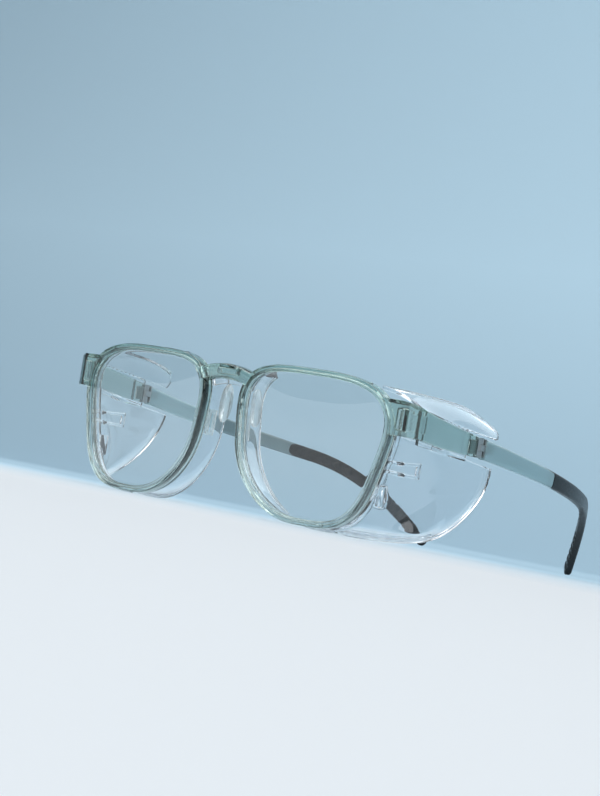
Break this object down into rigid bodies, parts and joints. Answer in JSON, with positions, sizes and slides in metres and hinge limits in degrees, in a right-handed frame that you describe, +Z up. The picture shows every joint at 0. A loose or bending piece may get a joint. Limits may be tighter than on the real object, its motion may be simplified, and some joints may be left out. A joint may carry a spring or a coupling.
{
  "type": "safety glasses",
  "caption": "Safety glasses with a translucent teal front, clear lenses, clear wrap-round side shields and folding temples with soft grey sleeves.",
  "frame": {"origin": "under the middle of the glasses, on the flat surface they stand on with the temples open", "axes": "+X to the wearer's left, +Y from the lenses back to the temple tips, +Z up"},
  "size_m": [0.15, 0.152, 0.0474],
  "materials": {
    "teal_plastic": "gloss",
    "temple_plastic": "gloss",
    "clear_lens": "gloss",
    "clear_shield": "gloss",
    "soft_pad": "satin",
    "clip_plastic": "gloss",
    "hinge_metal": "satin",
    "screw_metal": "satin",
    "grey_rubber": "satin"
  },
  "bodies": {
    "front": {"front_frame": "teal_plastic", "lens_left": "clear_lens", "lens_right": "clear_lens", "inner_shroud": "clear_shield", "side_shield_left": "clear_shield", "side_shield_right": "clear_shield", "nose_pad_left": "soft_pad", "nose_pad_right": "soft_pad", "nose_pad_clip_left": "clip_plastic", "nose_pad_clip_right": "clip_plastic", "front_hinge_left": "hinge_metal", "front_hinge_right": "hinge_metal", "hinge_screw_left": "screw_metal", "hinge_screw_right": "screw_metal"},
    "temple_left": {"temple_left": "temple_plastic", "temple_sleeve_left": "grey_rubber", "rear_hinge_left": "hinge_metal"},
    "temple_right": {"temple_right": "temple_plastic", "temple_sleeve_right": "grey_rubber", "rear_hinge_right": "hinge_metal"}
  },
  "joints": [
    {"name": "fold_left", "type": "hinge", "parent": "front", "child": "temple_left", "pos_m": [0.07204, -0.037, 0.03347], "axis": [0, -0.0494, 0.9988], "range_deg": [0, 79]},
    {"name": "fold_right", "type": "hinge", "parent": "front", "child": "temple_right", "pos_m": [-0.07204, -0.037, 0.03347], "axis": [0, 0.0494, -0.9988], "range_deg": [0, 68]}
  ]
}
